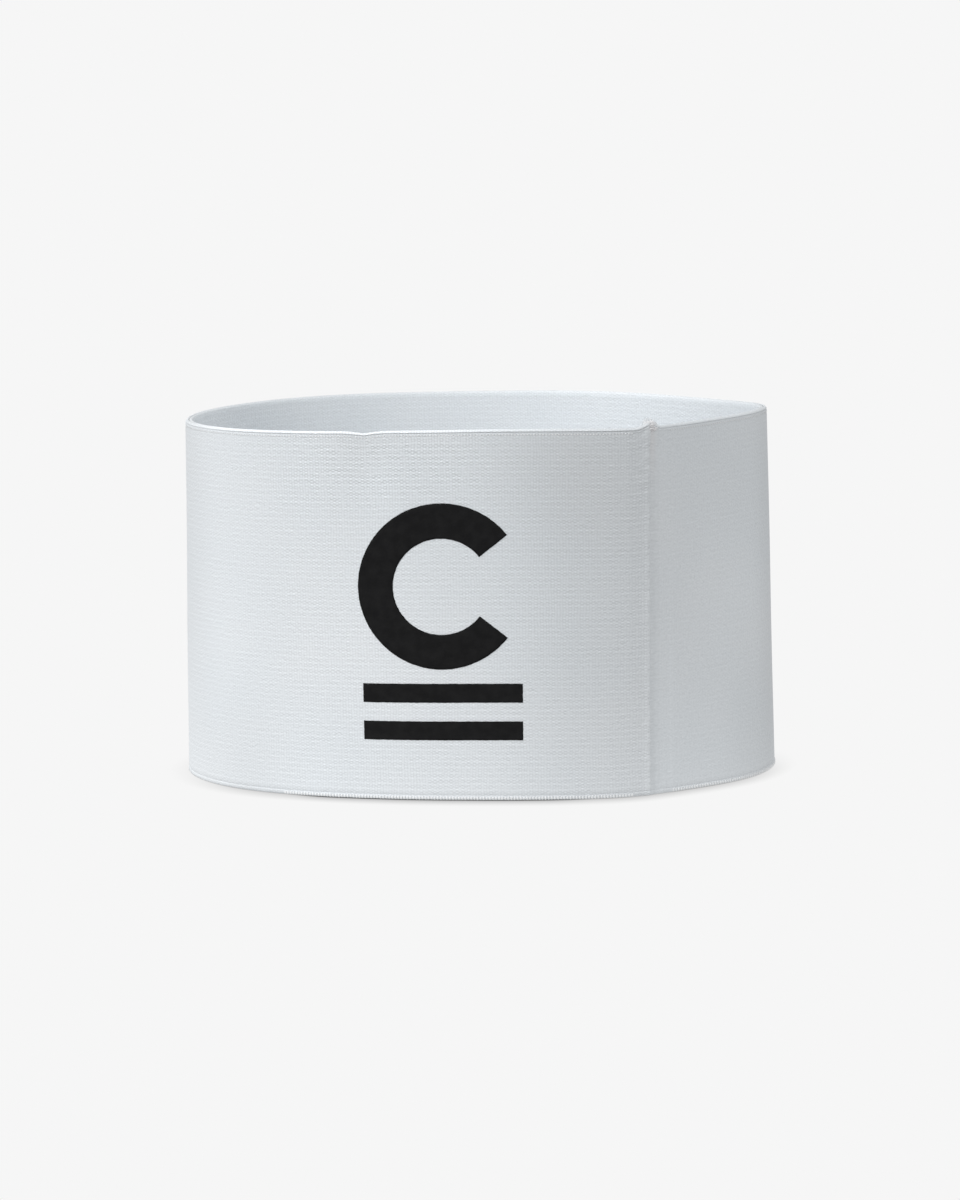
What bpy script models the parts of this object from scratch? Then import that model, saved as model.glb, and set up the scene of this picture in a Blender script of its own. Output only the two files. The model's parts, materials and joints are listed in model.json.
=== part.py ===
# A captain armband: a loop of white elastic webbing that stands on its edge, sewn end to end,
# with a printed letter C and two printed bars on its front.
# Metres, +Z up. The origin is on the standing edge's level, in the middle of the loop.
import functools
import math

import bmesh
import bpy
import numpy as np
from mathutils import Matrix, Vector

# The webbing and the loop that it makes
BAND_HEIGHT = 0.0700  # width of the webbing, which stands on edge
WALL = 0.0014  # thickness of the webbing
TOP_WIDTH = 0.1120  # upper edge of the loop, left to right
TOP_DEPTH = 0.0690  # upper edge, front to back
BASE_WIDTH = 0.1154  # standing edge, left to right
BASE_DEPTH = 0.0636  # standing edge, front to back
BASE_SIDEWAYS = -0.0010  # the middle of the standing edge, from below the middle of the upper edge
BASE_FORWARD = 0.0006
EDGE_ROUND = 0.00045  # rounding of the woven edges
PRESS_DEPTH = 0.0007  # a shallow dent in the front, near the upper edge
EDGE_DIP = 0.0003  # how far the upper edge dips over it

# The seam at the front right
SEAM_ALLOWANCE = 0.0055  # how far each end of the strip is turned in
SEAM_GAP = 0.0003  # between the two turned-in ends
SEAM_RISE = 0.0012  # how far their tips stand above the upper edge
SEAM_LEAN = math.radians(30)  # they lean to the right of straight in
SEAM_PLY = 0.0010  # thickness of each end, where the stitches press it
SEAM_FADE = 0.0060  # from the seam to where the webbing has its full thickness
SHOULDER_INSIDE = 0.0002  # inside radius where an end turns in
WRAP_STANDOFF = 0.0005  # from the band's inner face to the thread wrap
WRAP_THICKNESS = 0.0005
WRAP_CORNER = 0.0005  # cut off each of its two corners
WRAP_FOOT = 0.0006  # from the standing edge to the thread wrap
CLEARANCE = 0.0003  # between a piece and what it lies against
MERGE = 0.000003  # points closer than this are one

# The print
MARK_SIZE = 0.0314  # outer diameter of the C
MARK_STROKE = 0.0066
MARK_OPENING = math.radians(76)  # left open at the right of the C
MARK_HEIGHT = 0.0408  # middle of the C above the standing edge
PRINT_FROM_SEAM = 0.0395  # middle of the print, left of the seam along the band
BAR_LENGTH = 0.0300
BAR_WIDTH = 0.0036
BAR_SPACING = 0.0072  # from the middle of one bar to the middle of the next
BAR_BELOW_MARK = 0.0027  # from the C down to the upper bar
FILM = 0.00025  # thickness of the printed film

# The loop from above, from the seam round by the right. Each row is a point that pulls the
# outer face towards it, as shares of half the width and half the depth.
# Columns: across and depth at the upper edge, across and depth at the standing edge.
PLAN = (
    (0.585, -1.00, 0.56, -0.98),  # the seam
    (0.70, -0.83, 0.69, -0.86),
    (0.84, -0.63, 0.83, -0.74),
    (0.96, -0.43, 0.96, -0.52),
    (1.04, -0.13, 1.02, -0.22),  # the fold at the right
    (0.94, 0.01, 0.98, 0.06),
    (0.80, 0.20, 0.82, 0.27),
    (0.60, 0.47, 0.60, 0.53),
    (0.33, 0.78, 0.33, 0.80),
    (0.00, 0.95, 0.00, 0.97),
    (-0.33, 1.03, -0.33, 1.03),  # the back
    (-0.65, 0.93, -0.65, 0.92),
    (-0.89, 0.60, -0.88, 0.60),
    (-1.00, 0.23, -1.00, 0.24),
    (-1.01, -0.12, -1.01, -0.08),  # the round end at the left
    (-0.92, -0.42, -0.91, -0.40),
    (-0.74, -0.66, -0.72, -0.66),
    (-0.44, -0.83, -0.42, -0.86),
    (-0.08, -0.88, -0.07, -0.98),  # the front
    (0.26, -0.95, 0.26, -1.04),
    (0.46, -1.04, 0.44, -1.04),
)

# The dent in the front: its middle and its reach, as shares of the loop's length and of the height
PRESS_MIDDLE = (0.820, 0.92)
PRESS_REACH = (0.020, 0.14)
RISE_POWER = 4  # how close to the upper edge the turned-in ends keep their rise

# How finely the solids are divided
LOOP_STEPS = 96
SHOULDER_STEPS = 4
TAIL_STEPS = 2
HEIGHT_STEPS = 7
ROUND_STEPS = 2
MARK_STEPS = 36
BAR_STEPS = 12
OUTLINE_STEPS = 960
SPAN_STEPS = 48


# A smooth closed curve that the points pull at, scaled to the width and depth, as points evenly
# spaced along it. It starts beside the first point.
def smooth_loop(points, width, depth):
    t = np.linspace(0, 1, SPAN_STEPS, endpoint=False)[:, None]
    pulls = ((1 - t) ** 3, 3 * t**3 - 6 * t**2 + 4, 3 * (t + t**2 - t**3) + 1, t**3)
    spans = []
    for first in range(-1, len(points) - 1):
        corners = [points[(first + k) % len(points)] for k in range(len(pulls))]
        spans.append(sum(pull * corner for pull, corner in zip(pulls, corners)))
    curve = np.vstack(spans)
    low, high = curve.min(axis=0), curve.max(axis=0)
    curve = (curve - (low + high) / 2) / (high - low) * (width, depth)
    curve = np.vstack([curve, curve[:1]])
    along = np.concatenate([[0], np.cumsum(np.linalg.norm(np.diff(curve, axis=0), axis=1))])
    even = np.linspace(0, along[-1], OUTLINE_STEPS + 1)
    return np.stack([np.interp(even, along, curve[:, axis]) for axis in range(2)], axis=1)


def length_of(loop):
    return float(np.linalg.norm(np.diff(loop, axis=0), axis=1).sum())


plan = np.array(PLAN)
top_loop = smooth_loop(plan[:, :2], TOP_WIDTH, TOP_DEPTH)
base_loop = smooth_loop(plan[:, 2:], BASE_WIDTH, BASE_DEPTH) + (BASE_SIDEWAYS, BASE_FORWARD)
both_loops = np.vstack([top_loop, base_loop])
middle = (both_loops.min(axis=0) + both_loops.max(axis=0)) / 2
loop_length = (length_of(top_loop) + length_of(base_loop)) / 2
shoulder_start = (SHOULDER_INSIDE + SEAM_PLY + SEAM_GAP / 2) / math.cos(SEAM_LEAN) / loop_length


# The plan point of the outer face at a share of the loop's length and a share of the height.
def outline_point(along, height):
    place = (along % 1) * OUTLINE_STEPS
    before = int(place)
    after = (before + 1) % OUTLINE_STEPS
    part = place - before
    top = top_loop[before] * (1 - part) + top_loop[after] * part
    base = base_loop[before] * (1 - part) + base_loop[after] * part
    return Vector(base * (1 - height) + top * height - middle)


# The level direction out of the outer face, there.
def outline_side(along, height):
    step = 1 / OUTLINE_STEPS
    run = outline_point(along + step, height) - outline_point(along - step, height)
    return Vector((run.y, -run.x)).normalized()


# How much of the front's dent shows there, from 0 to 1.
def press_share(along, height):
    sideways = (along - PRESS_MIDDLE[0]) / PRESS_REACH[0]
    upwards = (height - PRESS_MIDDLE[1]) / PRESS_REACH[1]
    return math.exp(-(sideways**2) - upwards**2)


# Puts a plan point of the outer face in its place, a height up and a depth behind that face.
def placed(flat, side, up, depth, pressed=0.0, rise=0.0):
    flat = flat - side * (depth + PRESS_DEPTH * pressed)
    dip = EDGE_DIP * pressed * up / BAND_HEIGHT
    return Vector((flat.x, flat.y, up + rise - dip))


# The seam's frame at a height: where the two ends start to turn in, the directions straight in,
# along the leaning ends and across them, the turn's outside radius, and the front of the gap.
def seam_frame(height):
    right = outline_point(shoulder_start, height)
    left = outline_point(-shoulder_start, height)
    across = (right - left).normalized()
    inward = Vector((-across.y, across.x))
    deep = inward * math.cos(SEAM_LEAN) + across * math.sin(SEAM_LEAN)
    beside = across * math.cos(SEAM_LEAN) - inward * math.sin(SEAM_LEAN)
    radius = ((right - left).length * math.cos(SEAM_LEAN) - SEAM_GAP) / 2
    return {
        "starts": {1: right, -1: left},
        "inward": inward,
        "deep": deep,
        "beside": beside,
        "radius": radius,
        "front": (right + left) / 2 + inward * radius - deep * radius * math.cos(SEAM_LEAN),
    }


# One end of the strip's outer face in plan, from its cut edge to where it meets the loop.
def turned_end(height, side):
    seam = seam_frame(height)
    centre = seam["starts"][side] + seam["inward"] * seam["radius"]
    facing = seam["beside"] * -side
    turn = facing.angle(-seam["inward"])
    bend = []
    for step in range(SHOULDER_STEPS + 1):
        swing = turn * step / SHOULDER_STEPS
        arm = facing * math.sin(turn - swing) - seam["inward"] * math.sin(swing)
        bend.append(centre + arm * seam["radius"] / math.sin(turn))
    straight = SEAM_ALLOWANCE - (bend[0] - seam["front"]).dot(seam["deep"])
    tail = [bend[0] + seam["deep"] * straight * step / TAIL_STEPS for step in range(TAIL_STEPS, 0, -1)]
    return tail + bend


# The strip's outer face in plan at a height, from one cut edge round the loop to the other: each
# point with the level direction out of the face there.
@functools.cache
def strip_line(height):
    span = (1 - 2 * shoulder_start) / LOOP_STEPS
    loop = [outline_point(shoulder_start + span * step, height) for step in range(1, LOOP_STEPS)]
    line = turned_end(height, 1) + loop + turned_end(height, -1)[::-1]
    runs = [(after - before).normalized() for before, after in zip(line, line[1:])]
    pairs = zip(runs[:1] + runs, runs + runs[-1:])
    turns = [(before + after).normalized() for before, after in pairs]
    return [(point, Vector((turn.y, -turn.x))) for point, turn in zip(line, turns)]


# The strip's point at a column, a height up and a share of its thickness behind its outer face.
def strip_point(column, up, depth_share):
    height = up / BAND_HEIGHT
    flat, side = strip_line(height)[column]
    step = column - TAIL_STEPS - SHOULDER_STEPS
    if 0 <= step <= LOOP_STEPS:
        along = shoulder_start + (1 - 2 * shoulder_start) * step / LOOP_STEPS
        near = min((min(along, 1 - along) - shoulder_start) * loop_length / SEAM_FADE, 1)
        thickness = SEAM_PLY + (WALL - SEAM_PLY) * near
        return placed(flat, side, up, thickness * depth_share, pressed=press_share(along, height))
    seam = seam_frame(height)
    tucked = (flat - seam["front"]).dot(seam["deep"]) / SEAM_ALLOWANCE
    rise = SEAM_RISE * max(tucked, 0) * height**RISE_POWER
    return placed(flat, side, up, SEAM_PLY * depth_share, rise=rise)


# The webbing's cross-section with its rounded edges, all the way round, as heights and as depths
# in shares of the thickness.
def webbing_section():
    low, high = EDGE_ROUND, BAND_HEIGHT - EDGE_ROUND
    near, far = EDGE_ROUND / WALL, 1 - EDGE_ROUND / WALL
    outer = [(low + (high - low) * step / HEIGHT_STEPS, 0.0) for step in range(1, HEIGHT_STEPS)]
    inner = [(up, 1.0) for up, _ in reversed(outer)]
    corners = []
    for quarter, (up, depth) in enumerate(((high, near), (high, far), (low, far), (low, near))):
        turns = [math.pi / 2 * (quarter + step / ROUND_STEPS) for step in range(ROUND_STEPS + 1)]
        corners.append([(up + EDGE_ROUND * math.sin(t), depth - near * math.cos(t)) for t in turns])
    return outer + corners[0] + corners[1] + inner + corners[2] + corners[3]


# A sheet of faces through rows of points.
def sheet_of(rows):
    across, up = len(rows[0]) - 1, len(rows) - 1
    bm = bmesh.new()
    bmesh.ops.create_grid(bm, x_segments=across, y_segments=up, size=1)
    for vert in bm.verts:
        column = round((vert.co.x + 1) / 2 * across)
        level = round((vert.co.y + 1) / 2 * up)
        vert.co = rows[level][column]
    return bm


def make_material(name, colour, roughness):
    material = bpy.data.materials.new(name)
    material.use_nodes = True
    shader = material.node_tree.nodes["Principled BSDF"]
    shader.inputs["Base Color"].default_value = (*colour, 1)
    shader.inputs["Roughness"].default_value = roughness
    shader.inputs["Metallic"].default_value = 0
    return material


def add_part(name, bm, material):
    mesh = bpy.data.meshes.new(name)
    bm.to_mesh(mesh)
    bm.free()
    mesh.materials.append(material)
    mesh.shade_smooth()
    mesh.set_sharp_from_angle(angle=math.radians(40))
    part = bpy.data.objects.new(name, mesh)
    armband.objects.link(part)
    return part


def thicken(part, thickness, offset):
    solidify = part.modifiers.new("Thickness", "SOLIDIFY")
    solidify.thickness = thickness
    solidify.offset = offset
    solidify.use_even_offset = True


# The whole strip is one solid: its cross-section swept along the strip and closed at the cut edges.
def make_band():
    section = webbing_section()
    columns = range(len(strip_line(0.0)))
    rows = [[strip_point(column, *place) for column in columns] for place in section + section[:1]]
    bm = sheet_of(rows)
    bmesh.ops.remove_doubles(bm, verts=bm.verts, dist=MERGE)
    bmesh.ops.holes_fill(bm, edges=bm.edges)
    add_part("elastic_band", bm, make_material("white_webbing", (0.80, 0.83, 0.86), 0.85))


# The thread wrap at a height: a U from above, over both cut edges and back along the turned-in ends.
def wrap_row(height):
    seam = seam_frame(height)
    half = SEAM_GAP / 2 + SEAM_PLY + CLEARANCE
    tip = SEAM_ALLOWANCE + CLEARANCE
    sideways = (half + WRAP_THICKNESS) * abs(math.sin(SEAM_LEAN))
    start = (WALL + WRAP_STANDOFF + sideways) / math.cos(SEAM_LEAN)
    leg = [(-half, start), (-half, (start + tip) / 2), (-half, tip - WRAP_CORNER), (WRAP_CORNER - half, tip)]
    row = []
    for side, depth in leg + [(-side, depth) for side, depth in reversed(leg)]:
        flat = seam["front"] + seam["beside"] * side + seam["deep"] * depth
        rise = SEAM_RISE * min(depth / SEAM_ALLOWANCE, 1)
        top = BAND_HEIGHT + rise - CLEARANCE
        row.append(Vector((flat.x, flat.y, WRAP_FOOT + (top - WRAP_FOOT) * height)))
    return row


def make_wrap():
    bm = sheet_of([wrap_row(step / HEIGHT_STEPS) for step in range(HEIGHT_STEPS + 1)])
    wrap = add_part("seam_overlock", bm, make_material("white_thread", (0.84, 0.85, 0.86), 0.6))
    thicken(wrap, WRAP_THICKNESS, -1)


# Lays a flat film on the front of the band, its X along the band and its Y up, and thickens it.
def add_film(name, bm, height):
    for vert in bm.verts:
        along = 1 - (PRINT_FROM_SEAM - vert.co.x) / loop_length
        share = (height + vert.co.y) / BAND_HEIGHT
        flat, side = outline_point(along, share), outline_side(along, share)
        vert.co = placed(flat, side, height + vert.co.y, -CLEARANCE, pressed=press_share(along, share))
    film = add_part(name, bm, make_material(f"{name}_ink", (0.012, 0.012, 0.013), 0.7))
    thicken(film, FILM, 1)


# The C is centred by its ink, which its opening cuts short at the right.
def make_mark():
    radius = MARK_SIZE / 2
    centre = Vector((radius * (1 - math.cos(MARK_OPENING / 2)) / 2, 0, 0))
    bm = bmesh.new()
    stroke = [bm.verts.new(centre + Vector((radius - MARK_STROKE * share, 0, 0))) for share in (0, 0.5, 1)]
    edges = [bm.edges.new(pair) for pair in zip(stroke, stroke[1:])]
    tilt = Matrix.Rotation(MARK_OPENING / 2, 3, "Z")
    bmesh.ops.rotate(bm, verts=stroke, cent=centre, matrix=tilt)
    sweep = 2 * math.pi - MARK_OPENING
    bmesh.ops.spin(bm, geom=stroke + edges, cent=centre, axis=(0, 0, 1), angle=sweep, steps=MARK_STEPS)
    bmesh.ops.recalc_face_normals(bm, faces=bm.faces)
    bm.normal_update()
    if sum(face.normal.z for face in bm.faces) < 0:
        bmesh.ops.reverse_faces(bm, faces=bm.faces)
    add_film("captain_mark", bm, MARK_HEIGHT)


def make_bar(name, height):
    bm = bmesh.new()
    size = Matrix.Diagonal((BAR_LENGTH / 2, BAR_WIDTH / 2, 1, 1))
    bmesh.ops.create_grid(bm, x_segments=BAR_STEPS, y_segments=1, size=1, matrix=size)
    add_film(name, bm, height)


for old in list(bpy.data.objects):
    bpy.data.objects.remove(old, do_unlink=True)
armband = bpy.data.collections.new("captain_armband")
bpy.context.scene.collection.children.link(armband)

make_band()
make_wrap()
make_mark()
upper_bar = MARK_HEIGHT - MARK_SIZE / 2 - BAR_BELOW_MARK - BAR_WIDTH / 2
make_bar("mark_bar_upper", upper_bar)
make_bar("mark_bar_lower", upper_bar - BAR_SPACING)
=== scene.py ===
import json
import math

import bmesh
import bpy
import numpy as np
from mathutils import Matrix, Vector, noise

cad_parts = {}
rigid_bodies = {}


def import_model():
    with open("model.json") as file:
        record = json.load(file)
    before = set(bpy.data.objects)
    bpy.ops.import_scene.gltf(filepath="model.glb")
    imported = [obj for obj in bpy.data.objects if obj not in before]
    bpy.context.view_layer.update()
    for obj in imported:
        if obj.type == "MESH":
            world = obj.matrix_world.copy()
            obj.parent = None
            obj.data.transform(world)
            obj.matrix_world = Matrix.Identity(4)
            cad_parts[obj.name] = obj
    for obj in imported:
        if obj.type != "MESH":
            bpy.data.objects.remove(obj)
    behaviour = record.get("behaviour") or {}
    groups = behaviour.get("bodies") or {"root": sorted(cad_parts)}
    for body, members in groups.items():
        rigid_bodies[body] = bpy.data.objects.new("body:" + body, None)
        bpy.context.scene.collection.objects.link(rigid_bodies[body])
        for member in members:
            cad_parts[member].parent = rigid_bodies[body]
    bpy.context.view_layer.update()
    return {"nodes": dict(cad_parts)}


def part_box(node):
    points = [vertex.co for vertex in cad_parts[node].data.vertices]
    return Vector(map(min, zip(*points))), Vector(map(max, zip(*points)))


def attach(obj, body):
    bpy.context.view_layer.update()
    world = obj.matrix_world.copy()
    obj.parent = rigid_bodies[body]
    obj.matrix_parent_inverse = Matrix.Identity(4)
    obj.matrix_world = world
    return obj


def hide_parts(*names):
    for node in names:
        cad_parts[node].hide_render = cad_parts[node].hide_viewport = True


for leftover in list(bpy.data.objects):  # the start-up cube, lamp and camera
    bpy.data.objects.remove(leftover)
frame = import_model()
turn = 2 * math.pi


# A socket of a shader, so that a formula with it adds the Math nodes that it needs.
class Term:
    def __init__(self, board, socket):
        self.board = board
        self.socket = socket

    def work(self, operation, *terms):
        return self.board.add("Math", {"operation": operation}, terms)

    def __add__(self, other):
        return self.work("ADD", self, other)

    def __sub__(self, other):
        return self.work("SUBTRACT", self, other)

    def __rsub__(self, other):
        return self.work("SUBTRACT", other, self)

    def __mul__(self, other):
        return self.work("MULTIPLY", self, other)

    def __abs__(self):
        return self.work("ABSOLUTE", self)

    def cosine(self):
        return self.work("COSINE", self)

    # 0 up to low, 1 from high, smooth between
    def rise(self, low, high):
        settings = {"interpolation_type": "SMOOTHSTEP"}
        return self.board.add("MapRange", settings, {"Value": self, "From Min": low, "From Max": high})


# A material that nodes are added to, one call for each.
class Board:
    def __init__(self, name, **fixed):
        self.material = bpy.data.materials.new(name)
        self.material.use_nodes = True
        self.tree = self.material.node_tree
        self.shader = self.tree.nodes["Principled BSDF"]
        for socket, value in fixed.items():
            self.shader.inputs[socket.replace("_", " ")].default_value = value

    def join(self, node, socket, value):
        if isinstance(value, Term):
            self.tree.links.new(value.socket, node.inputs[socket])
        else:
            node.inputs[socket].default_value = value

    # A node by its type and its settings, then the values or terms of its sockets. Gives one output.
    def add(self, kind, settings=None, sockets=(), output=0):
        node = self.tree.nodes.new(f"ShaderNode{kind}")
        for name, value in (settings or {}).items():
            setattr(node, name, value)
        pairs = sockets.items() if isinstance(sockets, dict) else enumerate(sockets)
        for socket, value in pairs:
            self.join(node, socket, value)
        return Term(self, node.outputs[output])

    def blend(self, share, first, second):
        settings = {"data_type": "RGBA", "clamp_factor": True}
        return self.add("Mix", settings, {0: share, 6: first, 7: second}, output=2)

    def bump(self, height, strength, depth):
        return self.add("Bump", None, {"Strength": strength, "Distance": depth, "Height": height})

    def shade(self, **sockets):
        for socket, value in sockets.items():
            self.join(self.shader, socket.replace("_", " "), value)


def colour(red, green, blue):
    return (red, green, blue, 1)


# The strip: its sizes, its courses and where the solid is read
webbing = {
    "height": 0.0700,
    "wall": 0.0014,
    "seamPly": 0.0010,  # the stitches press it thinner
    "seamFade": 0.0060,
    "courseCount": 62,
    "courseRows": (0.0, 0.5),  # where a course has its rows of points
    "courseRelief": (0.004, 0.0),  # how deep each lies, in millimetres
    "slices": (0.0020, 0.0380),  # levels where the solid's outline is read
    "steps": 4000,  # points of an outline
    "smoothing": 0.0017,
    "wallStart": 0.0080,  # past here, from a cut edge, the strip is plain wall
    "straight": math.radians(6),  # a line that turns by less than this counts as straight
    "cornerReach": 0.00016,  # how tightly the ends turn in
    "cornerPoints": 12,
    "softTop": 0.0005,  # near the upper edge they turn in more softly
    "pinch": 0.00014,  # the stitches draw each end this far to the other
    "pinchFade": 0.0012,
    "press": 0.00024,  # and press the two corners together
    "pressReach": 0.0009,
    "wiggle": 0.00024,  # how far the seam's line wanders
    "wiggleLength": 0.0022,
    "roof": 0.55,  # the turned-in ends rise to a ridge where they meet
    "columnLoose": 0.0018,
    "columnTight": 0.00020,
    "columnTail": 3,  # times as wide as that on the turned-in ends
    "tightFrom": 0.0034,
    "looseFrom": 0.0200,
    # Distances from a cut edge where the upper edge starts to rise and is up, left and right
    "riseLeft": (0.0084, 0.0046),
    "riseRight": (0.0068, 0.0046),
    "risePower": 6,
}
# The woven edges, as millimetres from the edge and millimetres behind the outer face: the lower
# one's outer half and its inner half, then the whole upper one
lowerOutside = (
    (0.00, 0.42), (0.07, 0.14), (0.26, -0.01), (0.50, -0.04), (0.72, -0.01), (0.86, 0.05), (0.95, 0.10),
    (1.05, 0.05), (1.20, 0.00),
)
lowerInside = ((0.90, 1.40), (0.36, 1.36), (0.08, 1.12), (0.00, 0.78))
upperEdge = (
    (0.98, 0.05), (0.86, 0.00), (0.74, -0.01), (0.62, 0.06), (0.53, 0.12), (0.45, 0.04),
    (0.37, 0.02), (0.25, 0.10), (0.12, 0.22), (0.02, 0.36), (0.05, 0.50), (0.24, 0.66),
    (0.12, 0.86), (0.04, 1.02), (0.12, 1.24), (0.36, 1.38), (0.90, 1.40),
)
# The shallow dent near the upper edge. Its places and reaches are shares of the strip's length and
# height.
dent = {
    "middle": (0.800, 0.92),
    "reach": (0.014, 0.12),
    "lean": 0.035,
    "depth": 0.0007,
    "dip": 0.00045,  # the upper edge is lower there
    "dipReach": 0.007,
    "swell": (0.26, 0.09, 0.0006),  # and higher at the back: where, reach and height
    "dipPower": 8,  # how soon both end below it
}
# The seam's small ridge and its puckers
ridge = {
    "height": 0.00012,
    "width": 0.0008,
    "waver": (0.7, 0.9, 0.0045),  # its usual share of that height, how much it changes and how slowly
    "pucker": 0.00013,
    "puckerReach": 0.0024,
    "puckerSizes": ((0.0018, 0.0010), (0.0010, 0.0006)),  # across and up, of the coarse and the fine
    "fineShare": 0.6,
    "puckerShare": (0.55, 0.6),  # their strength low down, and what is added near the upper edge
}
uneven = {"height": 0.00006, "waves": ((11, 0.6), (4, -0.9))}  # slow waves, round the loop and up it


def smooth(share):
    share = np.clip(share, 0, 1)
    return share * share * (3 - 2 * share)


# Points evenly spaced along a line.
def resampled(line, count):
    along = np.concatenate([[0], np.cumsum(np.linalg.norm(np.diff(line, axis=0), axis=1))])
    even = np.linspace(0, along[-1], count)
    return np.stack([np.interp(even, along, line[:, axis]) for axis in range(2)], axis=1)


def lengthOf(line):
    return float(np.linalg.norm(np.diff(line, axis=0), axis=1).sum())


# The plan outline of the solid band at a level, as a closed ring of points.
def ringAt(level):
    bm = bmesh.new()
    bm.from_mesh(frame["nodes"]["elastic_band"].data)
    bmesh.ops.remove_doubles(bm, verts=bm.verts, dist=1e-6)
    everything = bm.verts[:] + bm.edges[:] + bm.faces[:]
    plane = {"plane_co": (0, 0, level), "plane_no": (0, 0, 1)}
    bmesh.ops.bisect_plane(bm, geom=everything, dist=1e-7, clear_inner=True, clear_outer=True, **plane)
    vert = bm.verts[:][0]
    edge = vert.link_edges[0]
    ring = []
    for _ in range(len(bm.verts)):
        ring.append((vert.co.x, vert.co.y))
        vert = edge.other_vert(vert)
        edge = next(other for other in vert.link_edges if other != edge)
    bm.free()
    return np.array(ring)


# The strip's outer face at a level, from one cut edge round by the right to the other. The ring's
# sharp corners are those of the cut edges, and the outer face is its longest run between them.
def outerLine(level):
    ring = ringAt(level)
    into = ring - np.roll(ring, 1, axis=0)
    out = np.roll(ring, -1, axis=0) - ring
    swing = np.angle(out @ (1, 1j)) - np.angle(into @ (1, 1j))
    bend = np.abs((swing + math.pi) % turn - math.pi)
    corners = sorted(np.argsort(bend)[-4:])
    runs = []
    for first, last in zip(corners, corners[1:] + [corners[0] + len(ring)]):
        runs.append(ring[np.arange(first, last + 1) % len(ring)])
    line = resampled(max(runs, key=lengthOf), webbing["steps"] + 1)
    return line if line[len(line) // 4][0] > 0 else line[::-1]


# Rounds off a line's facets, except near its two ends.
def rounded(line):
    step = lengthOf(line) / webbing["steps"]
    sigma = webbing["smoothing"] / step
    reach = np.arange(-round(3 * sigma), round(3 * sigma) + 1)
    weights = np.exp(-((reach / sigma) ** 2) / 2)
    weights = weights / weights.sum()
    soft = np.stack([np.convolve(line[:, axis], weights, "same") for axis in range(2)], axis=1)
    fromEnd = np.minimum(np.arange(len(line)), np.arange(len(line))[::-1]) * step
    share = smooth((fromEnd - webbing["wallStart"]) / webbing["wallStart"])[:, None]
    return line * (1 - share) + soft * share


# Turns the line's first end in more tightly: its curve gives way to a small round corner where the
# straight tail and the straight wall would meet. Gives that corner too.
def tightened(line):
    step = lengthOf(line) / webbing["steps"]
    heading = np.unwrap(np.angle(np.diff(line, axis=0) @ (1, 1j)))
    wall = round(webbing["wallStart"] / step)
    tailEnd = np.argmax(np.abs(heading - heading[0]) > webbing["straight"])
    wallFrom = wall - np.argmax(np.abs(heading[:wall][::-1] - heading[wall]) > webbing["straight"])
    tail, straight = line[tailEnd], line[wallFrom]
    inward = line[0] - tail
    onward = line[wall] - straight
    across = inward[0] * onward[1] - inward[1] * onward[0]
    gap = straight - tail
    corner = tail + inward * (gap[0] * onward[1] - gap[1] * onward[0]) / across
    legs = [tail - corner, straight - corner]
    near, far = [corner + leg * min(webbing["cornerReach"] / np.linalg.norm(leg), 1) for leg in legs]
    t = np.linspace(0, 1, webbing["cornerPoints"])[:, None]
    bend = near * (1 - t) ** 2 + corner * 2 * t * (1 - t) + far * t**2
    path = resampled(np.vstack([tail, bend, straight]), wallFrom - tailEnd + 1)
    return np.vstack([line[:tailEnd], path, line[wallFrom + 1:]]), corner


print("reading the outline of the solid band")
softLines, tightLines, seamCorners = [], [], []
for level in webbing["slices"]:
    softLine = rounded(outerLine(level))
    tightLine, rightCorner = tightened(softLine)
    tightLine, leftCorner = tightened(tightLine[::-1])
    softLines.append(softLine)
    tightLines.append(tightLine[::-1])
    seamCorners.append((rightCorner + leftCorner) / 2)
stripLength = lengthOf(softLines[0])
fromCorner = np.linalg.norm(tightLines[0][:len(tightLines[0]) // 4] - seamCorners[0], axis=1)
cornerAt = np.argmin(fromCorner) * stripLength / webbing["steps"]  # from a cut edge to its corner
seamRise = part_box("elastic_band")[1].z - webbing["height"]  # of the ends, above the upper edge


# A value between the two slices, carried on in a straight line to other heights.
def climbed(pair, up):
    low, high = webbing["slices"]
    share = ((up - low) / (high - low))[:, None]
    return pair[0] * (1 - share) + pair[1] * share


# Plan points of a line at shares of its length and at heights, and the level directions out of it.
def planAt(lines, share, up):
    place = np.clip(share, 0, 1) * webbing["steps"]
    before = np.minimum(place.astype(int), webbing["steps"] - 1)
    part = (place - before)[:, None]
    flat = climbed([line[before] * (1 - part) + line[before + 1] * part for line in lines], up)
    back, ahead = np.maximum(before - 2, 0), np.minimum(before + 3, webbing["steps"])
    run = climbed([line[ahead] - line[back] for line in lines], up)
    run /= np.linalg.norm(run, axis=1)[:, None]
    return flat, np.stack([run[:, 1], -run[:, 0]], axis=1)


# Noise on a piece's own lengths, with the sizes of its lumps across and up.
def roughness(across, up, scale):
    points = zip(across / scale[0], up / scale[1])
    return np.array([noise.noise(Vector((x, y, 0.5))) for x, y in points])


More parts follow.
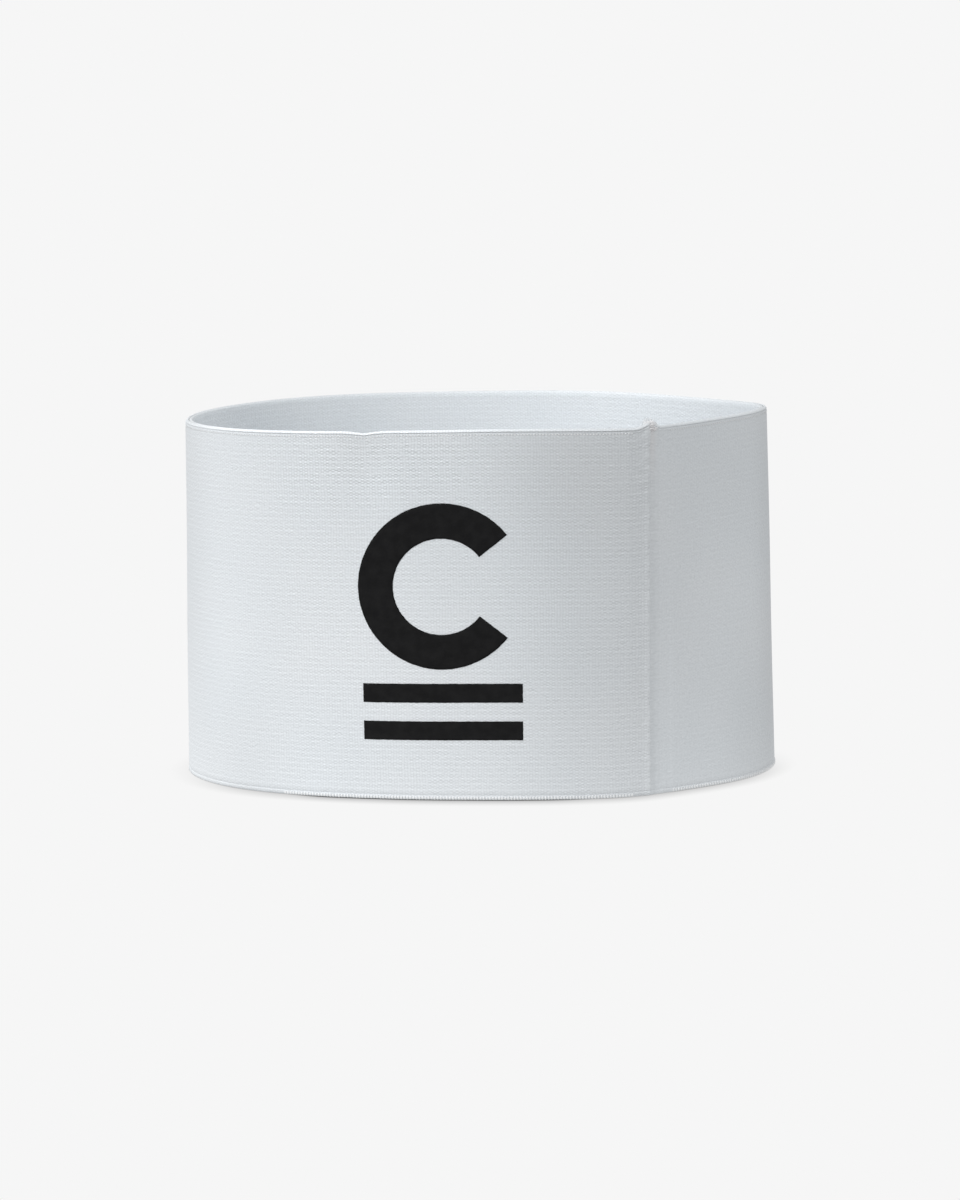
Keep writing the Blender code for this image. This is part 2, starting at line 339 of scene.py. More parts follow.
# The outer face's small forms in metres, outward: the dent, the seam's ridge and its puckers, and
# a slow unevenness.
def relief(share, up, flat):
    height = up / webbing["height"]
    lean = (1 - height) * dent["lean"]
    fromDent = ((share - lean - dent["middle"][0]) / dent["reach"][0]) ** 2
    fromDent += ((height - dent["middle"][1]) / dent["reach"][1]) ** 2
    out = -dent["depth"] * np.exp(-fromDent)
    waves = [np.sin(turn * (share * around + height * rising)) for around, rising in uneven["waves"]]
    out += uneven["height"] * waves[0] * waves[1]
    offset = np.linalg.norm(flat - climbed(seamCorners, up), axis=1)
    fromEnd = np.minimum(share, 1 - share) * stripLength
    near = (offset < 3 * ridge["puckerReach"]) & (fromEnd > webbing["tightFrom"])
    side = np.where(share < 0.5, 1, -1)[near] * offset[near]
    coarse, fine = ridge["puckerSizes"]
    pucker = roughness(side, up[near], coarse) + ridge["fineShare"] * roughness(side + 1, up[near], fine)
    usual, change = ridge["puckerShare"]
    pucker *= usual + change * smooth(height[near] * 3 - 2)
    usual, change, length = ridge["waver"]
    wave = usual + change * roughness(side * 0 + 2, up[near], (1, length))
    out[near] += ridge["height"] * wave * np.exp(-((side / ridge["width"]) ** 2))
    out[near] += ridge["pucker"] * pucker * np.exp(-((side / ridge["puckerReach"]) ** 2))
    return out


# Points of the strip at shares of its length, at heights and at depths behind its outer face.
# The ends rise a little where they are turned in, and the upper edge dips over the dent.
def stripPoints(share, up, depth):
    share, up, depth = np.broadcast_arrays(share, up, depth)
    share, up, depth = share.ravel(), up.ravel(), depth.ravel()
    softFlat, softSide = planAt(softLines, share, up)
    tightFlat, tightSide = planAt(tightLines, share, up)
    soft = np.exp(-(((webbing["height"] - up) / webbing["softTop"]) ** 2))[:, None]
    outer = tightFlat * (1 - soft) + softFlat * soft
    side = tightSide * (1 - soft) + softSide * soft
    outer = outer + side * relief(share, up, outer)[:, None]
    fromEnd = np.minimum(share, 1 - share) * stripLength
    _, across = planAt(softLines, np.where(share < 0.5, 0.0, 1.0), up)
    drawn = webbing["pinch"] * smooth((webbing["wallStart"] - fromEnd) / webbing["pinchFade"] + 1)
    atCorner = np.exp(-(((fromEnd - cornerAt) / webbing["pressReach"]) ** 2))
    drawn += webbing["press"] * atCorner
    near = atCorner > 0.001
    wander = roughness(up[near] * 0 + 7, up[near], (1, webbing["wiggleLength"]))
    drawn[near] += webbing["wiggle"] * wander * atCorner[near] * np.where(share[near] < 0.5, 1, -1)
    outer = outer + across * drawn[:, None]
    thickness = webbing["seamPly"] + (webbing["wall"] - webbing["seamPly"]) * smooth(
        (fromEnd - webbing["wallStart"]) / webbing["seamFade"])
    inner = softFlat - softSide * thickness[:, None]
    through = (depth / webbing["wall"])[:, None]
    outside = np.minimum(depth, 0)[:, None]
    flat = outer + (inner - outer) * np.maximum(through, 0) - side * outside
    height = up / webbing["height"]
    start, full = [np.where(share > 0.5, *ends) for ends in zip(webbing["riseLeft"], webbing["riseRight"])]
    tucked = smooth((start - fromEnd) / (start - full))
    lift = seamRise * tucked * height ** webbing["risePower"]
    lift *= 1 - webbing["roof"] * np.clip(depth / webbing["wall"], 0, 1) * smooth(tucked * 2 - 1)
    dip = dent["dip"] * np.exp(-(((share - dent["middle"][0]) / dent["dipReach"]) ** 2))
    dip -= dent["swell"][2] * np.exp(-(((share - dent["swell"][0]) / dent["swell"][1]) ** 2))
    return np.column_stack([flat, up + lift - dip * height ** dent["dipPower"]])


# Shares of the strip's length for its columns of points, close together at the seam.
def columnShares():
    at = [0.0]
    while at[-1] < stripLength / 2:
        if at[-1] < webbing["tightFrom"]:
            step = webbing["columnTail"] * webbing["columnTight"]
        else:
            spread = (at[-1] - webbing["wallStart"]) / (webbing["looseFrom"] - webbing["wallStart"])
            spread = min(max(spread, 0), 1)
            step = webbing["columnTight"] + (webbing["columnLoose"] - webbing["columnTight"]) * spread
        at.append(at[-1] + step)
    half = np.array(at[:-1]) / stripLength
    return np.concatenate([half, [0.5], 1 - half[::-1]])


courseStart = lowerOutside[-1][0] / 1000
coursePitch = (webbing["height"] - upperEdge[0][0] / 1000 - courseStart) / webbing["courseCount"]


# The section of the strip from its lower edge up the outer face and down the inner one, as heights
# and depths behind the outer face. Its last point is its first.
def section():
    height, wall = webbing["height"], webbing["wall"]
    courses = []
    for course in range(webbing["courseCount"]):
        for at, deep in zip(webbing["courseRows"], webbing["courseRelief"]):
            courses.append((courseStart + (course + at) * coursePitch, deep / 1000))
    courses = courses[1:]
    rows = [(up / 1000, depth / 1000) for up, depth in lowerOutside]
    rows += courses
    rows += [(height - down / 1000, depth / 1000) for down, depth in upperEdge]
    rows += [(up, wall - deep) for up, deep in reversed(courses)]
    rows += [(up / 1000, depth / 1000) for up, depth in lowerInside]
    return np.array(rows + rows[:1])


sectionRows = section()
sectionAt = np.concatenate([[0], np.cumsum(np.linalg.norm(np.diff(sectionRows, axis=0), axis=1))])
sectionLength = sectionAt[-1]
# rows of the lower edge and the outer face
outerRows = len(lowerOutside) + len(webbing["courseRows"]) * webbing["courseCount"]


# How far round the section a point of it lies, in metres.
def wayTo(up, depth):
    return float(sectionAt[np.argmin(np.linalg.norm(sectionRows - (up, depth), axis=1))])


# A shape drawn flat, as along the strip, up it and out of it, laid on the strip's outer face. Its
# UV map holds the share of the strip's length and of the way round the section.
def laidOn(bm, middleShare, middleUp):
    uv = bm.loops.layers.uv.new("strip")
    for face in bm.faces:
        for loop in face.loops:
            up = np.interp(middleUp + loop.vert.co.y, sectionRows[:outerRows, 0], sectionAt[:outerRows])
            loop[uv].uv = (middleShare + loop.vert.co.x / stripLength, up / sectionLength)
    flat = np.array([vert.co for vert in bm.verts])
    share = middleShare + flat[:, 0] / stripLength
    for vert, place in zip(bm.verts, stripPoints(share, middleUp + flat[:, 1], -flat[:, 2])):
        vert.co = place


def addPiece(name, bm, material):
    mesh = bpy.data.meshes.new(name)
    bm.to_mesh(mesh)
    bm.free()
    return addMesh(name, mesh, material)


def addMesh(name, mesh, material):
    mesh.materials.append(material)
    mesh.shade_smooth()
    piece = bpy.data.objects.new(name, mesh)
    bpy.context.scene.collection.objects.link(piece)
    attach(piece, "root")
    return piece


# The strip's weave, as painted shade in the gaps between its threads, which changes its whiteness, and a
# bump. The places along and up the strip come from the UV map and are in metres.
weave = {
    "pick": 0.00107,  # two neighbouring dashes of a row
    "dashes": 0.126,  # how much whiter each of these is than its surroundings, which have painted shade in the gaps
    "lines": 0.034,
    "fine": 0.024,
    "ribs": 0.036,
    "grain": 0.19,
    "relief": 2.9,  # the bump's height over that whiteness
    "fuzz": 1.8,
    "wander": 0.0006,
    "depth": 0.00004,
    "faint": 0.58,  # its strength away from the front
    "calm": 0.45,  # and its share of that right of the seam, as far as these lengths
    "rightSide": (0.044, 0.060),
    "front": (0.700, 0.775),  # share of the loop where it grows to 1
    "strongest": 0.7,  # and what is added at the upper edge
    "strongAt": (0.81, 0.02, 0.09),  # the share of the loop of its middle, and its reach
    "strongFrom": (0.052, 0.064),
    "strongTo": (0.071, 0.075),
    # the sizes of the clouds that shift the threads and change their strength
    "asideSize": 0.0045,
    "climbSize": 0.0031,
    "strongSize": 0.011,
    "patchSize": 0.0019,
    "fuzzSize": 0.0005,
}


def weaveOf(board):
    place = board.add("UVMap", {"uv_map": "strip"})
    split = board.add("SeparateXYZ", None, [place])
    along = split * stripLength
    way = Term(board, split.socket.node.outputs[1]) * sectionLength
    up = way - courseStart
    flat = board.add("CombineXYZ", None, [along, up, 0.0])

    def cloud(size, detail=1.0):
        return board.add("TexNoise", None, {"Vector": flat, "Scale": 1 / size, "Detail": detail})

    aside = (cloud(weave["asideSize"], 2.0) - 0.5) * weave["wander"]
    climb = (cloud(weave["climbSize"], 2.0) - 0.5) * weave["wander"]
    across = (along + aside) * (turn / weave["pick"])
    rise = (up + climb) * (turn / coursePitch)
    strong = cloud(weave["strongSize"], 2.0).rise(0.30, 0.70)
    patchy = cloud(weave["patchSize"]).rise(0.32, 0.62)
    fuzz = cloud(weave["fuzzSize"], 3.0) - 0.5
    fine = (rise * 2).cosine()
    # Painted shade in the gaps between the weave's dashes, rows and ribs, with a random grain
    tone = across.cosine() * fine * (strong * 0.4 + 0.6) * (patchy * 0.8 + 0.2) * weave["dashes"]
    tone = tone + rise.cosine() * (patchy * 0.9 + 0.4) * weave["lines"] + fine * weave["fine"]
    tone = tone + (across * 2).cosine() * (1 - strong * 0.6) * weave["ribs"]
    onFront = along.rise(weave["front"][0] * stripLength, weave["front"][1] * stripLength)
    middle, near, far = [share * stripLength for share in weave["strongAt"]]
    atTop = way.rise(*weave["strongFrom"]) * (1 - way.rise(*weave["strongTo"]))
    atTop = atTop * (1 - abs(along - middle).rise(near, far))
    offRight = along.rise(*weave["rightSide"])
    tone = tone * (onFront * (1 - weave["faint"]) + weave["faint"] + atTop * weave["strongest"])
    tone = tone * (offRight * (1 - weave["calm"]) + weave["calm"]) + fuzz * weave["grain"]
    return tone, tone * weave["relief"] + fuzz * weave["fuzz"], along, way, cloud


# Painted shade in the grooves and painted highlights on the lips, as lines along the woven edges: the height
# and depth of a point on the section, half the line's width, and how much darker it is on the front and
# elsewhere (below 0, lighter)
rimAt = webbing["height"]
paintedEdgeLines = (
    ((rimAt - 0.00053, 0.00012), 0.00011, 0.20, 0.06),  # painted shade under the lip
    ((rimAt - 0.00024, 0.00066), 0.00016, 0.34, 0.30),  # painted shade in the groove along the rim
    ((rimAt - 0.00004, 0.00102), 0.00020, -0.04, 0.10),  # the inner lip: a faint painted highlight on the front, painted shade elsewhere
    ((rimAt - 0.00012, 0.00022), 0.00020, -0.12, 0.06),  # the lip: a painted highlight on the front, painted shade elsewhere
    ((0.00095, 0.00010), 0.00008, 0.14, 0.08),  # painted shade in the groove over the lower bead
    ((0.00050, -0.00004), 0.00030, 0.08, 0.05),  # painted shade on the lower bead
)
# Painted shade and painted light, slow changes of its whiteness that follow how the light falls: the share
# of the loop and the height, how far it reaches in both, and how much darker (below 0, lighter)
paintedShadeAndLight = (
    ((0.935, 0.066), (0.090, 0.030), 0.130),
    ((0.945, 0.033), (0.085, 0.060), 0.100),
    ((0.655, 0.035), (0.045, 0.080), 0.070),
    ((0.130, 0.035), (0.032, 0.080), 0.085),
    ((0.800, 0.034), (0.060, 0.032), -0.035),
    ((0.080, 0.037), (0.060, 0.024), -0.035),
    ((0.705, 0.004), (0.065, 0.028), 0.085),
    ((0.115, 0.004), (0.050, 0.035), 0.090),
    # painted shade in a strip right of the seam and a painted highlight in one left of it
    (((cornerAt + 0.0003) / stripLength, 0.035), (0.0014 / stripLength, 0.2), 0.060),
    ((1 - (cornerAt + 0.0009) / stripLength, 0.035), (0.0011 / stripLength, 0.2), -0.035),
)


# The strip's whites, and where they and its painted shade and highlights change
whites = {
    "cool": colour(0.752, 0.790, 0.820),
    "warm": colour(0.775, 0.806, 0.832),
    "cloudSize": 0.035,
    "seam": colour(0.840, 0.825, 0.832),  # at the top of the seam
    "seamShare": 0.5,
    "seamFrom": (0.0580, 0.0680),
    "seamWide": (0.0003, 0.0014),
    "level": 0.975,
    "frontFrom": (0.192, 0.212),  # the lengths along the strip where the front starts, for the painted edge lines
    "offSeam": (-0.0002, 0.0030),  # where the painted edge lines start, from the seam's corner
    "tails": (-0.0020, -0.0006),  # where the turned-in ends start, which get a little painted shade
    "paintedTailShade": 0.05,
}


def webbingMaterial():
    board = Board("webbing", Roughness=0.85, Sheen_Weight=0.15, Sheen_Roughness=0.5, Specular_IOR_Level=0.25)
    tone, height, along, way, cloud = weaveOf(board)
    tint = board.blend(cloud(whites["cloudSize"], 2.0).rise(0.3, 0.7), whites["cool"], whites["warm"])
    fromCut = along.work("MINIMUM", along, stripLength - along)
    seamTop = way.rise(*whites["seamFrom"]) * (1 - abs(fromCut - cornerAt).rise(*whites["seamWide"]))
    tint = board.blend(seamTop * whites["seamShare"], tint, whites["seam"])
    dark = tone + whites["level"]
    elsewhere = 1 - along.rise(*whites["frontFrom"])
    offSeam = fromCut.rise(*[cornerAt + away for away in whites["offSeam"]])
    # Painted shade and painted highlights along the woven edges, starting a little off the seam
    for point, half, onFront, onRest in paintedEdgeLines:
        line = 1 - abs(way - wayTo(*point)).rise(half * 0.4, half * 1.6)
        dark = dark * (1 - line * offSeam * (elsewhere * (onRest - onFront) + onFront))
    # Slow painted shade and painted light over the strip
    for place, reach, depth in paintedShadeAndLight:
        near = 1 - abs(along - place[0] * stripLength).rise(0, reach[0] * stripLength)
        near = near * (1 - abs(way - place[1]).rise(0, reach[1]))
        dark = dark * (1 - near * depth)
    # Painted shade on the turned-in ends
    tails = 1 - fromCut.rise(*[cornerAt + away for away in whites["tails"]])
    dark = dark * (1 - tails * whites["paintedTailShade"])
    shade = board.add("CombineXYZ", None, [dark, dark, dark])
    multiplied = {"data_type": "RGBA", "blend_type": "MULTIPLY"}
    board.shade(Base_Color=board.add("Mix", multiplied, {0: 1.0, 6: tint, 7: shade}, output=2))
    board.shade(Normal=board.bump(height, 1.0, weave["depth"]))
    return board.material


print("weaving the strip")
columns = columnShares()
bm = bmesh.new()
grid = {"x_segments": len(columns) - 1, "y_segments": len(sectionRows) - 1}
bmesh.ops.create_grid(bm, size=0.5, matrix=Matrix.Translation((0.5, 0.5, 0)), **grid)
uvLayer = bm.loops.layers.uv.new("strip")
columnCells, rowCells = grid["x_segments"], grid["y_segments"]
cells = [(round(vert.co.x * columnCells), round(vert.co.y * rowCells)) for vert in bm.verts]
for face in bm.faces:
    for loop in face.loops:
        column, row = cells[loop.vert.index]
        loop[uvLayer].uv = (columns[column], sectionAt[row] / sectionLength)
columnOf, rowOf = np.array(cells).T
for vert, place in zip(bm.verts, stripPoints(columns[columnOf], *sectionRows[rowOf].T)):
    vert.co = place
bmesh.ops.remove_doubles(bm, verts=bm.verts, dist=1e-7)
bmesh.ops.holes_fill(bm, edges=[edge for edge in bm.edges if edge.is_boundary], sides=0)
bmesh.ops.triangulate(bm, faces=[face for face in bm.faces if len(face.verts) > 4])
bmesh.ops.recalc_face_normals(bm, faces=bm.faces)
armband = addPiece("armband_webbing", bm, webbingMaterial())
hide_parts("elastic_band")

# The print: a letter C and two bars
ink = {
    "stroke": 0.0066,
    "opening": math.radians(76),
    "thickness": 0.00005,
    "clear": 0.000008,
    "ragged": 0.00005,
    "raggedSize": 0.0007,
    "letterCells": (16, 240),  # across its stroke and round it
    "barCells": (90, 10),
    "fresh": colour(0.0075, 0.0075, 0.0080),
    "worn": colour(0.0115, 0.0115, 0.0120),
    "wornSize": 0.002,
    "front": (0.70, 0.97),  # shares of the loop between which the print is
    "frontSteps": 2001,
}


def inkMaterial():
    board = Board("ink", Roughness=0.8, Specular_IOR_Level=0.13)
    _, height, _, _, cloud = weaveOf(board)
    worn = cloud(ink["wornSize"], 3.0).rise(0.3, 0.7)
    board.shade(Base_Color=board.blend(worn, ink["fresh"], ink["worn"]))
    board.shade(Normal=board.bump(height, 0.8, weave["depth"]))
    return board.material


# Share of the strip's length where its front is at an x and a height.
def frontShare(x, up):
    shares = np.linspace(*ink["front"], ink["frontSteps"])
    flat, _ = planAt(softLines, shares, np.full(len(shares), up))
    return float(np.interp(x, flat[:, 0], shares))


# A printed node's middle, as a share of the strip's length and a height, and its length and width.
def middleOf(node):
    low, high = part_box(node)
    up = (low.z + high.z) / 2
    first, last = frontShare(low.x, up), frontShare(high.x, up)
    return (first + last) / 2, up, (last - first) * stripLength, high.z - low.z


# Gives a flat print its thickness and lays it on the strip.
def printed(name, bm, share, up, material):
    for vert in bm.verts:
        if vert.is_boundary:
            shift = noise.noise_vector(vert.co / ink["raggedSize"])
            vert.co += Vector((shift.x, shift.y, 0)) * ink["ragged"]
    for face in bm.faces:
        if face.normal.z < 0:
            face.normal_flip()
    sides = bmesh.ops.extrude_face_region(bm, geom=bm.faces[:])["geom"]
    upper = {item for item in sides if isinstance(item, bmesh.types.BMVert)}
    for vert in bm.verts:
        vert.co.z = ink["clear"] + (ink["thickness"] if vert in upper else 0)
    bmesh.ops.recalc_face_normals(bm, faces=bm.faces)
    laidOn(bm, share, up)
    piece = addPiece(name, bm, material)
    return piece


print("printing the letter and the bars")
inkFinish = inkMaterial()
letterShare = middleOf("mark_bar_upper")[0]
letterLow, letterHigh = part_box("captain_mark")
letterRadius = (letterHigh.z - letterLow.z) / 2
bm = bmesh.new()
strokeCells, roundCells = ink["letterCells"]
radii = np.linspace(letterRadius - ink["stroke"], letterRadius, strokeCells + 1)
endX, endY = math.cos(ink["opening"] / 2), math.sin(ink["opening"] / 2)
spoke = [bm.verts.new((radius * endX, radius * endY, 0)) for radius in radii]
edges = [bm.edges.new(pair) for pair in zip(spoke, spoke[1:])]
around = {"axis": (0, 0, 1), "cent": (0, 0, 0), "angle": turn - ink["opening"], "steps": roundCells}
bmesh.ops.spin(bm, geom=spoke + edges, **around)
bm.normal_update()
letter = printed("captain_letter", bm, letterShare, (letterLow.z + letterHigh.z) / 2, inkFinish)
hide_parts("captain_mark")
for node in ("mark_bar_upper", "mark_bar_lower"):
    barShare, barUp, barLength, barWidth = middleOf(node)
    bm = bmesh.new()
    bmesh.ops.create_grid(bm, x_segments=ink["barCells"][0], y_segments=ink["barCells"][1], size=0.5)
    bmesh.ops.scale(bm, vec=(barLength, barWidth, 1), verts=bm.verts)
    bm.normal_update()
    bar = printed(node.replace("mark", "printed"), bm, barShare, barUp, inkFinish)
    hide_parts(node)

# The weft's turns: small ribs round the lower edge and small knots in a row under the upper one
turns = {
    "pitch": 0.00058,
    "rib": (0.00021, 0.00036, 0.00012),  # half its length along the strip, up it and out of it
    "ribUp": 0.00042,
    "ribProud": 0.00004,  # how far its middle is out of the face
    "ribGap": (0.69, 0.045, 0.03),  # share of the loop where the edge is smooth, its reach and its fade
    "knot": (0.00019, 0.00014, 0.00011),
    "knotDown": 0.00098,
    "knotProud": -0.00003,
    "knotHigh": (0.75, 0.6),  # its usual strength on the front, and how much that changes
    "knotFront": (0.85, 0.14),  # share of the loop of the front's middle, and how far the front reaches
    "knotRest": 0.45,  # the share of it that is left elsewhere
    "smallest": 0.08,
    "vary": 0.2,
}


# A row of small round forms on the outer face, with their middles a little out of it or, below 0,
# in it.
def rowOfForms(size, up, proud, strength):
    ball = bmesh.new()
    bmesh.ops.create_uvsphere(ball, u_segments=8, v_segments=5, radius=1)
    form = bpy.data.meshes.new("form")
    ball.to_mesh(form)
    ball.free()
    count = int(stripLength / turns["pitch"])
    share = (np.arange(count) + 0.5) / count
    share = share[np.minimum(share, 1 - share) * stripLength > webbing["wallStart"] + turns["pitch"]]
    shareStep, upStep = 0.0002, 0.0001  # small steps that give the directions
    middles = stripPoints(share, up, -proud)
    alongs = stripPoints(share + shareStep, up, -proud) - middles
    upwards = middles - stripPoints(share, up - upStep, -proud)
    bm = bmesh.new()
    for place, middle, along, upward in zip(share, middles, alongs, upwards):
        high = strength(place)
        if high < turns["smallest"]:
            continue
        along = Vector(along).normalized()
        out = along.cross(Vector(upward)).normalized()
        frameOf = Matrix((along, out.cross(along), out)).transposed().to_4x4()
        vary = 1 + turns["vary"] * noise.noise(Vector((place * 400, up * 1000, 0)))
        stretch = Matrix.Diagonal((size[0], size[1] * vary, size[2] * high * vary, 1))
        copy = form.copy()
        copy.transform(Matrix.Translation(middle) @ frameOf @ stretch)
        bm.from_mesh(copy)
        bpy.data.meshes.remove(copy)
    bpy.data.meshes.remove(form)
    return bm


# The ribs fade out at the loop's left end, where the edge is smooth.
def ribStrength(share):
    middle, reach, fade = turns["ribGap"]
    return float(smooth(np.array((abs(share - middle) - reach) / fade)))


def knotStrength(share):
    usual, change = turns["knotHigh"]
    middle, reach = turns["knotFront"]
    high = usual + change * noise.noise(Vector((share * 90, 0, 3)))
    return high * (1 if abs(share - middle) < reach else turns["knotRest"])


# The thread over the two cut edges, inside the band, and the stitches beside it
sewing = {
    "radius": 0.00014,
    "off": 1.1,  # radii between its middle and the face
    "pitch": 0.0016,
    "reach": 0.0043,  # from the cut edges to the row of stitches
    "beyond": 2.2,  # how far it passes the cut edges, as a multiple of how far it is off the face
    "legPoints": 5,
    "start": 0.0009,
    "top": 0.0020,
}
# The dull and the bright colour of the fibres
fibres = {
    "perMetre": 9000.0,
    "depth": 0.00003,
    "thread": (colour(0.84, 0.832, 0.842), colour(0.93, 0.922, 0.93)),
    "weft": (colour(0.78, 0.80, 0.815), colour(0.87, 0.88, 0.89)),
}


def fibreMaterial(name, dull, bright):
    board = Board(name, Roughness=0.7, Sheen_Weight=0.2, Sheen_Roughness=0.4, Specular_IOR_Level=0.3)
    place = board.add("TexCoord", output=3)
    fibre = board.add("TexNoise", None, {"Vector": place, "Scale": fibres["perMetre"], "Detail": 2.0})
    board.shade(Base_Color=board.blend(fibre, dull, bright))
    board.shade(Normal=board.bump(fibre, 0.6, fibres["depth"]))
    return board.material


# A point on the free face of one of the two turned-in ends, measured from its cut edge.
def tailPoint(side, fromCut, up, off):
    share = max(fromCut, 0) / stripLength
    depth = webbing["wall"] * (1 + off / webbing["seamPly"])
    share = share if side > 0 else 1 - share
    point = stripPoints(share, up, depth)[0]
    if fromCut < 0:
        step = 0.001  # along the end, for its direction
        inner = stripPoints(share + side * step / stripLength, up, depth)[0]
        point = point + (inner - point) / step * fromCut
    return point


def threadMesh(name, paths, radius):
    curve = bpy.data.curves.new(name, "CURVE")
    curve.dimensions = "3D"
    curve.bevel_depth = radius
    curve.bevel_resolution = 1
    curve.use_fill_caps = True
    for path in paths:
        spline = curve.splines.new("POLY")
        spline.points.add(len(path) - 1)
        for point, place in zip(spline.points, path):
            point.co = (*place, 1)
    holder = bpy.data.objects.new(name, curve)
    bpy.context.scene.collection.objects.link(holder)
    bpy.context.view_layer.update()
    evaluated = holder.evaluated_get(bpy.context.evaluated_depsgraph_get())
    mesh = bpy.data.meshes.new_from_object(evaluated)
    bpy.data.objects.remove(holder)
    mesh.name = name
    return mesh


print("sewing the seam")
threadFinish = fibreMaterial("thread", *fibres["thread"])
off = sewing["radius"] * sewing["off"]
beyond = -sewing["beyond"] * off
leg = np.linspace(0, 1, sewing["legPoints"])
# One turn of the thread: which end, how far from its cut edge, how much of the pitch up and how far
# off the face
oneTurn = [(1, sewing["reach"] * (1 - share), 0.25 * share, off) for share in leg]
oneTurn += [(1, beyond, 0.27, 0), (-1, beyond, 0.32, 0)]
oneTurn += [(-1, sewing["reach"] * share, 0.35 + 0.25 * share, off) for share in leg]
oneTurn += [(-1, sewing["reach"] / 2, 0.8, 2 * off), (-1, beyond, 0.88, off)]
oneTurn += [(1, beyond, 0.92, off), (1, sewing["reach"] / 2, 0.96, 2 * off)]
wrap = []
wrapCount = int((webbing["height"] - sewing["start"] - sewing["top"]) / sewing["pitch"])
for number in range(wrapCount):
    up = sewing["start"] + number * sewing["pitch"]
    for side, fromCut, share, away in oneTurn:
        wrap.append(tailPoint(side, fromCut, up + share * sewing["pitch"], away))
looper = threadMesh("seam_looper_thread", [wrap], sewing["radius"])
overlock = addMesh("seam_looper_thread", looper, threadFinish)
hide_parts("seam_overlock")

# The thread ends that lie over the top of the seam, in the notch between the two ends
tangle = {
    "strands": 13,
    "points": 16,
    "radius": 0.00008,
    "across": 0.0010,
    "widths": (0.45, 0.55),  # the outermost strands' share of that, and what is added in the middle
    "vary": 0.3,
    "down": (0.0003, 0.0016),  # below the upper edge
    "slant": 0.0004,
    "proud": 0.00004,
    "stray": 0.00010,
    "kinks": 3.5,
}

print("leaving the thread ends at the top of the seam")
strands = []
outermost, more = tangle["widths"]
highest, lowest = tangle["down"]
for number in range(tangle["strands"]):
    part = number / (tangle["strands"] - 1)
    down = highest + (lowest - highest) * part
    seed = Vector((number * 3.7, 1.3, 0))
    wide = tangle["across"] * (outermost + more * math.sin(math.pi * part))
    wide = wide * (1 + tangle["vary"] * noise.noise(seed))
    first = webbing["height"] - down + tangle["slant"] * noise.noise(seed)
    last = webbing["height"] - down - tangle["slant"] * noise.noise(seed + Vector((5, 0, 0)))
    right = Vector(stripPoints((cornerAt + wide) / stripLength, first, -tangle["radius"])[0])
    left = Vector(stripPoints(1 - (cornerAt + wide) / stripLength, last, -tangle["radius"])[0])
    outward = (right - left).cross(Vector((0, 0, 1))).normalized()
    if outward.y > 0:
        outward = -outward
    path = []
    for step in range(tangle["points"]):
        t = step / (tangle["points"] - 1)
        bow = math.sin(math.pi * t)
        stray = noise.noise_vector(seed + Vector((t * tangle["kinks"], 0, 0))) * tangle["stray"] * bow
        path.append(right.lerp(left, t) + outward * tangle["proud"] * bow + stray)
    strands.append(path)
loose = addMesh("seam_thread_ends", threadMesh("seam_thread_ends", strands, tangle["radius"]), threadFinish)

print("turning the weft at the woven edges")
turnFinish = fibreMaterial("weft_turns", *fibres["weft"])
ribForms = rowOfForms(turns["rib"], turns["ribUp"], turns["ribProud"], ribStrength)
ribs = addPiece("lower_edge_ribs", ribForms, turnFinish)
knotUp = webbing["height"] - turns["knotDown"]
knotForms = rowOfForms(turns["knot"], knotUp, turns["knotProud"], knotStrength)
knots = addPiece("upper_edge_knots", knotForms, turnFinish)

# The floor, the light and the camera. The floor glows evenly, more so close to the band, and only a painted
# shadow where the band touches it is darker.
studio = {
    "floorRadius": 3.0,
    "shown": 0.922,  # the floor and the background as the camera sees them
    "world": 0.82,
    "floorNear": 0.66,
    "floorFar": 0.40,
    "nearReach": (0.04, 0.16),
    "contact": 0.0046,
    "contactShade": 0.38,
    "contactAlong": (0.85, 0.3),  # its share at the ends, and what is added under the middle
    "backFrom": (-0.026, -0.002),
    "backLess": 0.8,  # how much of it is left out at the back
    "line": 0.0008,  # the narrow painted shadow line under the middle of the front
    "lineShade": 0.20,
    "lineFrom": (-0.037, -0.029),
    "lineTo": (0.012, 0.022),
    "lampDistance": 1.5,
    "lampRadius": 0.04,
    "lens": 90,
    "pitch": math.radians(10.494),
    "roll": math.radians(-1.616),
    "place": (0.000908, -0.575929, 0.139400),
}
# Soft cones of light: degrees to the right of the front and up, aim, half angle and watts
lamps = (
    ("lamp_left", -50, 45, (-0.070, -0.020, -0.010), 4.7, 53),
    ("lamp_inside", -55, 50, (0.035, 0.014, 0.055), 2.2, 52),
    ("lamp_rim", -20, 50, (0.010, 0.030, 0.060), 2.2, 10),
)


def grey(level):
    return colour(level, level, level)


print("setting up the studio")
bm = bmesh.new()
bmesh.ops.create_circle(bm, cap_ends=True, segments=96, radius=studio["floorRadius"])
floorMesh = bpy.data.meshes.new("floor")
bm.to_mesh(floorMesh)
bm.free()
floor = bpy.data.objects.new("floor", floorMesh)
bpy.context.scene.collection.objects.link(floor)
black = grey(0)
board = Board("floor", Roughness=1.0, Base_Color=black, Specular_IOR_Level=0.0, Emission_Strength=1.0)
place = board.add("TexCoord", output=3)
fromMiddle = board.add("VectorMath", {"operation": "LENGTH"}, [place], output=1)
away = fromMiddle.rise(*studio["nearReach"])
glow = board.blend(away, grey(studio["floorNear"]), grey(studio["floorFar"]))
split = board.add("SeparateXYZ", None, [place])
toBack = Term(board, split.socket.node.outputs[1]).rise(*studio["backFrom"])
middle = split.rise(*studio["lineFrom"]) * (1 - split.rise(*studio["lineTo"]))
openness = board.add("AmbientOcclusion", {"samples": 16}, {"Distance": studio["contact"]}, output=1)
narrow = board.add("AmbientOcclusion", {"samples": 16}, {"Distance": studio["line"]}, output=1)
usual, more = studio["contactAlong"]
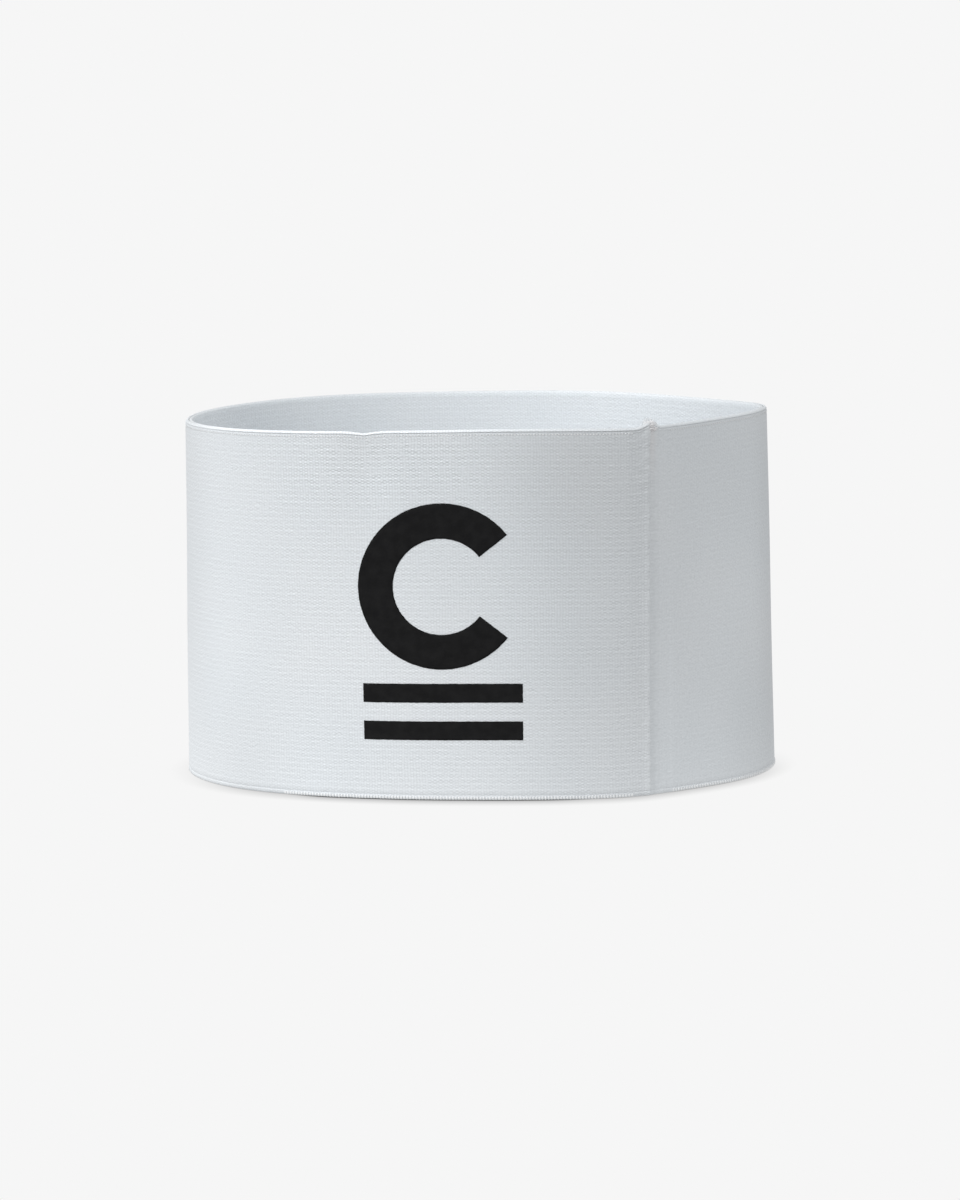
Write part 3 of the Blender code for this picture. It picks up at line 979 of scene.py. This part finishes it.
# The painted contact shadow, from the occlusion near the band, and the narrow painted shadow line under the
# middle of the front
shadow = (1 - openness) * (1 - toBack * studio["backLess"]) * (middle * more + usual)
shadow = shadow * studio["contactShade"] * 2
shadow = shadow + (1 - narrow) * middle * studio["lineShade"] * 2
shown = board.blend(shadow, grey(studio["shown"]), black)
board.shade(Emission_Color=board.blend(board.add("LightPath"), glow, shown))
floorMesh.materials.append(board.material)

world = bpy.data.worlds.new("studio")
world.use_nodes = True
bpy.context.scene.world = world
worldTree = world.node_tree
background = worldTree.nodes["Background"]
pathNode = worldTree.nodes.new("ShaderNodeLightPath")
choice = worldTree.nodes.new("ShaderNodeMix")
choice.data_type = "RGBA"
choice.inputs[6].default_value = grey(studio["world"])
choice.inputs[7].default_value = grey(studio["shown"])
worldTree.links.new(pathNode.outputs["Is Camera Ray"], choice.inputs[0])
worldTree.links.new(choice.outputs[2], background.inputs["Color"])

for name, aside, above, aim, halfAngle, watts in lamps:
    lamp = bpy.data.lights.new(name, "SPOT")
    lamp.energy = watts
    lamp.spot_size = math.radians(2 * halfAngle)
    lamp.spot_blend = 1.0
    lamp.shadow_soft_size = studio["lampRadius"]
    aside, above = math.radians(aside), math.radians(above)
    level = math.cos(above)
    toLamp = Vector((math.sin(aside) * level, -math.cos(aside) * level, math.sin(above)))
    lampObject = bpy.data.objects.new(name, lamp)
    lampObject.location = toLamp * studio["lampDistance"] + Vector((0, 0, webbing["height"] / 2))
    lampObject.rotation_euler = (lampObject.location - Vector(aim)).to_track_quat("Z", "Y").to_euler()
    bpy.context.scene.collection.objects.link(lampObject)

camera = bpy.data.cameras.new("camera")
camera.lens = studio["lens"]
camera.sensor_width = 36
cameraObject = bpy.data.objects.new("camera", camera)
upright = Matrix.Rotation(math.pi / 2 - studio["pitch"], 4, "X")
rolled = Matrix.Rotation(studio["roll"], 4, "Z")
cameraObject.matrix_world = Matrix.Translation(studio["place"]) @ upright @ rolled
bpy.context.scene.collection.objects.link(cameraObject)
bpy.context.scene.camera = cameraObject
bpy.context.scene.view_settings.view_transform = "Standard"
